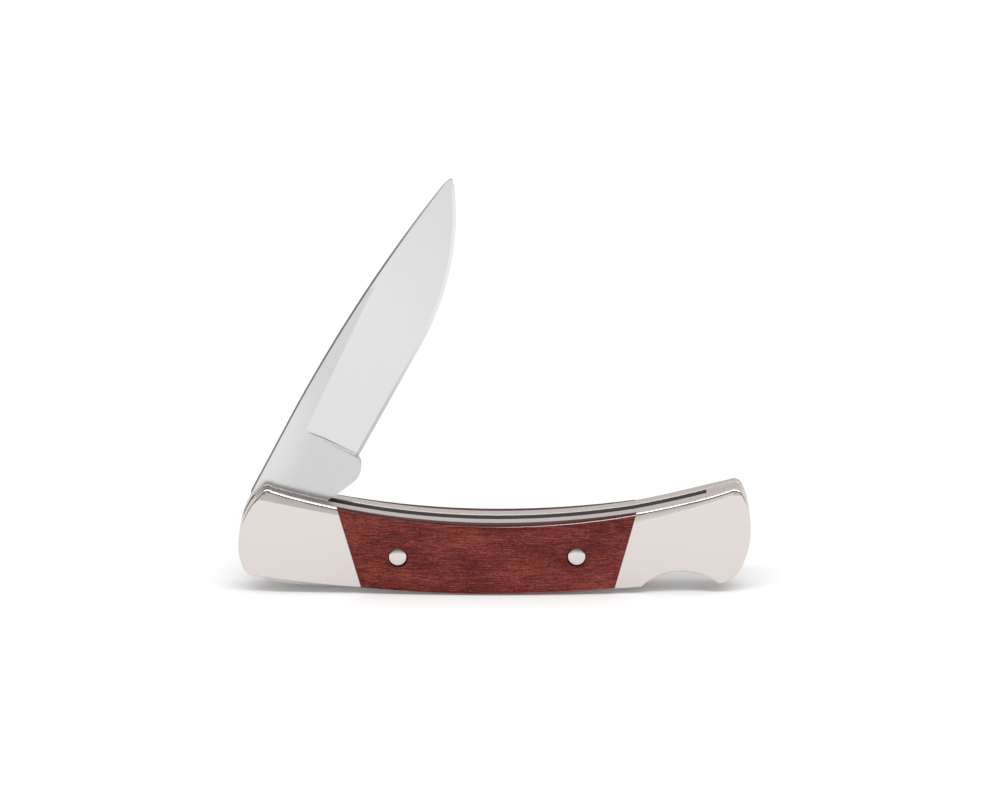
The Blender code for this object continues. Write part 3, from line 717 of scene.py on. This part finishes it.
class KNIFE_OT_bolsters(bpy.types.Operator):
    """Make the four bolsters, crowned and seated tight on the liners"""

    bl_idname = "knife.bolsters"
    bl_label = "Bolsters"

    def execute(self, context):
        for name, side in SIDES:
            for end in ENDS:
                node = f"{name}_{end}_bolster"
                piece = blank_from(node, f"{node}_polished")
                pick(piece, "FACE", lambda face: face.normal.y * side < -SEAT_TILT)
                bpy.ops.transform.translate(value=(0.0, -side * SEAM, 0.0))
                leave_edit()
                self.crown(piece, side, end)
                smooth(piece, CROWN_SMOOTH)
                hand_over(piece, "handle", "bolster_nickel", nickel_look(), node)
        return {"FINISHED"}

    def crown(self, piece, side, end):
        """Let the outer face fall away towards the slot, over rows and columns cut into it."""
        finish = settings().knife_nickel
        (x, z), radius = SLOT_ARCS[end]
        centre = Vector((x, 0.0, z + FLOOR_LIFT)) * MM
        corners = [Vector(corner) for corner in piece.bound_box]
        low, high = min(c.x for c in corners), max(c.x for c in corners)
        first, last = CROWN_SPREAD[end]
        column = CROWN_COLUMN * MM

        def outer(face):
            return face.normal.y * side > OUTER_TILT

        def width(x):
            return finish.crown_width * (first + (last - first) * (x - low) / (high - low))

        def row(x, share):
            rim = centre.z - sqrt((radius * MM) ** 2 - (x - centre.x) ** 2)
            return Vector((x, 0.0, rim - share * width(x)))

        for share in CROWN_ROWS:
            start, stop = row(low, share), row(high, share)
            across = (stop - start).cross(Vector((0.0, 1.0, 0.0))).normalized()
            pick(piece, "FACE", outer)
            bpy.ops.mesh.bisect(plane_co=start, plane_no=across)
        for k in range(1, int((high - low) / column)):
            pick(piece, "FACE", outer)
            bpy.ops.mesh.bisect(plane_co=(low + k * column, 0.0, 0.0), plane_no=(1.0, 0.0, 0.0))
        bm = bmesh.from_edit_mesh(piece.data)
        slope = CROWN_SHARE[end] * finish.crown_slope
        for vert in {vert for face in bm.faces if outer(face) for vert in face.verts}:
            inside = hypot(vert.co.x - centre.x, vert.co.z - centre.z) - radius * MM
            share = min(max(1.0 - inside / width(vert.co.x), 0.0), 1.0)
            vert.co.y -= side * slope * width(vert.co.x) / CROWN_POWER * share ** CROWN_POWER
        bmesh.update_edit_mesh(piece.data)
        leave_edit()


class KNIFE_OT_scales(bpy.types.Operator):
    """Make the two wood scales from their blanks"""

    bl_idname = "knife.scales"
    bl_label = "Wood scales"

    def execute(self, context):
        for name, _ in SIDES:
            piece = blank_from(f"{name}_scale", f"{name}_scale_wood")
            smooth(piece, CROWN_SMOOTH)
            hand_over(piece, "handle", "scale_wood", wood_look(), f"{name}_scale")
        return {"FINISHED"}


class KNIFE_OT_scale_pins(bpy.types.Operator):
    """Turn the four domed pins that show on the scales"""

    bl_idname = "knife.scale_pins"
    bl_label = "Scale pins"

    def execute(self, context):
        shape = settings().knife_pins
        for name, side in SIDES:
            for end in ENDS:
                node = f"{name}_scale_pin_{end}"
                low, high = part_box(node)
                deselect_all()
                bpy.ops.mesh.primitive_cylinder_add(
                    vertices=PIN_SIDES, radius=shape.radius, depth=high.y - low.y,
                    location=(low + high) / 2.0, rotation=(side * -pi / 2.0, 0.0, 0.0),
                )
                piece = bpy.context.object
                piece.name = f"{node}_domed"
                bpy.ops.object.transform_apply(location=True, rotation=True, scale=True)
                pick(piece, "FACE", lambda face: face.normal.y * side > TOP_TILT)
                bpy.ops.transform.translate(value=(0.0, -side * shape.dome, 0.0))
                for inset, rise in DOME_STEPS:
                    bpy.ops.mesh.inset(thickness=inset * shape.radius)
                    bpy.ops.transform.translate(value=(0.0, side * rise * shape.dome, 0.0))
                leave_edit()
                smooth(piece, DOME_SMOOTH, weighted=False)
                hand_over(piece, "handle", "scale_pin_nickel", nickel_look(), node)
        return {"FINISHED"}


class KNIFE_OT_inner_works(bpy.types.Operator):
    """Make the butt spacer and finish the pins, rivets and leaf spring inside"""

    bl_idname = "knife.inner_works"
    bl_label = "Spacer and inner works"

    def execute(self, context):
        piece = blank_from("butt_spacer", "butt_spacer_block")
        smooth(piece, FLAT_SMOOTH)
        hand_over(piece, "handle", "spacer_nickel", nickel_look(), "butt_spacer")
        for node in ("butt_rivet_upper", "butt_rivet_lower"):
            self.refinish(node, nickel_look())
        for node in ("pivot_pin", "rocker_pin", "lock_spring"):
            self.refinish(node, steel_look("ground_steel", INNER_ROUGHNESS))
        return {"FINISHED"}

    def refinish(self, node, look):
        """Give a CAD node that stays as it is a finish of its own."""
        item = frame["nodes"][node]
        item.data.materials.clear()
        item.data.materials.append(look)


class KNIFE_OT_lock_bar(bpy.types.Operator):
    """Make the lock bar with eased corners"""

    bl_idname = "knife.lock_bar"
    bl_label = "Lock bar"

    def execute(self, context):
        piece = blank_from("lock_bar", "lock_bar_steel")
        ease(piece, corner_edge(BAR_CORNER_OUT), settings().knife_steel.corner)
        smooth(piece, FLAT_SMOOTH)
        hand_over(piece, "lock_bar", "bar_steel", steel_look("bar_steel", BAR_ROUGHNESS), "lock_bar")
        return {"FINISHED"}


class KNIFE_OT_blade(bpy.types.Operator):
    """Make the blade: flats, hollow grind, edge band, eased back and tang corners"""

    bl_idname = "knife.blade"
    bl_label = "Blade"

    def execute(self, context):
        piece = blank_from("blade", "blade_ground")
        self.draw_out_point(piece)
        ease(piece, corner_edge(BLADE_CORNER_OUT), settings().knife_steel.corner)
        smooth(piece, GRIND_SMOOTH)
        hand_over(piece, "blade", "blade_steel", blade_look(), "blade")
        return {"FINISHED"}

    def draw_out_point(self, piece):
        """Draw back and edge together into the sharp point, along the last few millimetres."""
        turn = Matrix.Rotation(-radians(BLADE_ANGLE), 3, "Y")
        along = turn @ Vector((1.0, 0.0, 0.0))
        pick(piece, "FACE", lambda face: (face.calc_center_median() - PIVOT).dot(along) > POINT_FROM)
        bpy.ops.transform.resize(
            value=(1.0, 1.0, POINT_HEIGHT), orient_matrix=turn, orient_matrix_type="GLOBAL",
            use_proportional_edit=True, proportional_edit_falloff="SHARP", proportional_size=POINT_REACH,
        )
        leave_edit()


class KNIFE_OT_stage(bpy.types.Operator):
    """Lay the floor, hang the lamp and set up the sky and the camera"""

    bl_idname = "knife.stage"
    bl_label = "Stage"

    def execute(self, context):
        stage = settings().knife_stage
        self.floor(stage)
        self.sky(stage)
        self.lamp(stage)
        self.camera(stage)
        context.scene.view_settings.view_transform = "Standard"
        return {"FINISHED"}

    def seen(self, tree):
        """The light path, and a value of one for rays that the camera, a mirror or glass sends out."""
        path = add(tree, "ShaderNodeLightPath")
        first = maths(tree, "MAXIMUM", path.outputs["Is Camera Ray"], path.outputs["Is Glossy Ray"])
        return path, maths(tree, "MAXIMUM", first, path.outputs["Is Transmission Ray"])

    def floor(self, stage):
        """Lay a matt floor that looks lit up away from the knife."""
        deselect_all()
        bpy.ops.mesh.primitive_plane_add(size=FLOOR_SIZE, location=FLOOR_CENTRE)
        floor = bpy.context.object
        bpy.ops.object.transform_apply(location=True, rotation=False, scale=False)
        floor.name = "floor"
        look, tree, shader, place = start_material("pale_floor")
        feed(tree, toned(stage.floor_colour), shader.inputs["Base Color"])
        feed(tree, 1.0, shader.inputs["Roughness"])
        feed(tree, 0.0, shader.inputs["Specular IOR Level"])
        away = add(tree, "ShaderNodeVectorMath", operation="LENGTH")
        feed(tree, place.outputs["Object"], away.inputs[0])
        glow = ranged(tree, away.outputs["Value"], GLOW_REACH, GLOW)
        feed(tree, WHITE, shader.inputs["Emission Color"])
        feed(tree, maths(tree, "MULTIPLY", self.seen(tree)[1], glow), shader.inputs["Emission Strength"])
        floor.data.materials.append(look)

    def sky(self, stage):
        """A studio for mirrors to see, a plain sky to light by and white for the camera."""
        world = bpy.data.worlds.new("studio")
        bpy.context.scene.world = world
        world.use_nodes = True
        tree = world.node_tree
        back = tree.nodes["Background"]
        place = add(tree, "ShaderNodeTexCoord")
        _, y, z = split(tree, place.outputs["Generated"])
        turn = maths(tree, "ARCTAN2", z, maths(tree, "MULTIPLY", y, -1.0))
        stops = [
            (0.5 + angle / FULL_TURN, [level * part for part in STUDIO_TINT]) for angle, level in STUDIO
        ]
        studio = ramp(tree, ranged(tree, turn, (-pi, pi), soft=False), stops)
        path, seen = self.seen(tree)
        dome = ranged(tree, z, (0.0, 1.0), SKY_FALL, soft=False)
        plain = mixed(tree, path.outputs["Is Camera Ray"], dome, WHITE)
        colour = mixed(tree, path.outputs["Is Glossy Ray"], plain, studio)
        power = ranged(tree, seen, (0.0, 1.0), (stage.sky, 1.0), soft=False)
        feed(tree, colour, back.inputs["Color"])
        feed(tree, power, back.inputs["Strength"])

    def lamp(self, stage):
        """Hang one wide soft lamp above and in front."""
        lamp = bpy.data.lights.new("key", "AREA")
        lamp.shape = "RECTANGLE"
        lamp.energy = stage.key_power
        lamp.size, lamp.size_y = KEY_SIZE
        holder = bpy.data.objects.new("key", lamp)
        holder.location = KEY_PLACE
        aim = Vector(KEY_AIM) - holder.location
        holder.rotation_euler = aim.to_track_quat("-Z", "Y").to_euler()
        bpy.context.scene.collection.objects.link(holder)

    def camera(self, stage):
        """A long lens that looks at the knife from the front, a little from above."""
        lens = bpy.data.cameras.new("camera")
        lens.sensor_width = SENSOR
        lens.lens = PIXELS_PER_MM * stage.camera_distance / MM * SENSOR / IMAGE_WIDTH
        lens.clip_start, lens.clip_end = CLIP
        holder = bpy.data.objects.new("camera", lens)
        rise = stage.camera_elevation
        target = (Vector(CAMERA_AIM) + Vector((0.0, 0.0, FLOOR_LIFT))) * MM
        back = Vector((0.0, -cos(rise), sin(rise)))
        holder.location = target + back * stage.camera_distance
        holder.rotation_euler = (-back).to_track_quat("-Z", "Y").to_euler()
        bpy.context.scene.collection.objects.link(holder)
        bpy.context.scene.camera = holder


class KNIFE_PT_panel(bpy.types.Panel):
    """Lists the knife's sizes, finishes and pieces"""

    bl_idname = "KNIFE_PT_panel"
    bl_label = "Pocket knife"
    bl_space_type = "VIEW_3D"
    bl_region_type = "UI"
    bl_category = "Knife"

    def draw(self, context):
        layout = self.layout
        for holder in HOLDERS:
            box = layout.box()
            group = getattr(context.scene, holder)
            for key in group.bl_rna.properties.keys():
                if key not in ("rna_type", "name"):
                    box.prop(group, key)
        for operator in OPERATORS:
            layout.operator(operator.bl_idname)


HOLDERS = {
    "knife_nickel": NickelFinish, "knife_steel": SteelFinish, "knife_wood": WoodFinish,
    "knife_pins": PinShape, "knife_stage": StageLook,
}
OPERATORS = (
    KNIFE_OT_liners, KNIFE_OT_bolsters, KNIFE_OT_scales, KNIFE_OT_scale_pins,
    KNIFE_OT_inner_works, KNIFE_OT_lock_bar, KNIFE_OT_blade, KNIFE_OT_stage,
)


def register():
    for holder, kind in HOLDERS.items():
        bpy.utils.register_class(kind)
        setattr(bpy.types.Scene, holder, bpy.props.PointerProperty(type=kind))
    for operator in OPERATORS:
        bpy.utils.register_class(operator)
    bpy.utils.register_class(KNIFE_PT_panel)


def unregister():
    bpy.utils.unregister_class(KNIFE_PT_panel)
    for operator in reversed(OPERATORS):
        bpy.utils.unregister_class(operator)
    for holder, kind in HOLDERS.items():
        delattr(bpy.types.Scene, holder)
        bpy.utils.unregister_class(kind)


def main():
    register()
    bpy.ops.knife.liners()
    bpy.ops.knife.bolsters()
    bpy.ops.knife.scales()
    bpy.ops.knife.scale_pins()
    bpy.ops.knife.inner_works()
    bpy.ops.knife.lock_bar()
    bpy.ops.knife.blade()
    bpy.ops.knife.stage()


if __name__ == "__main__":
    main()
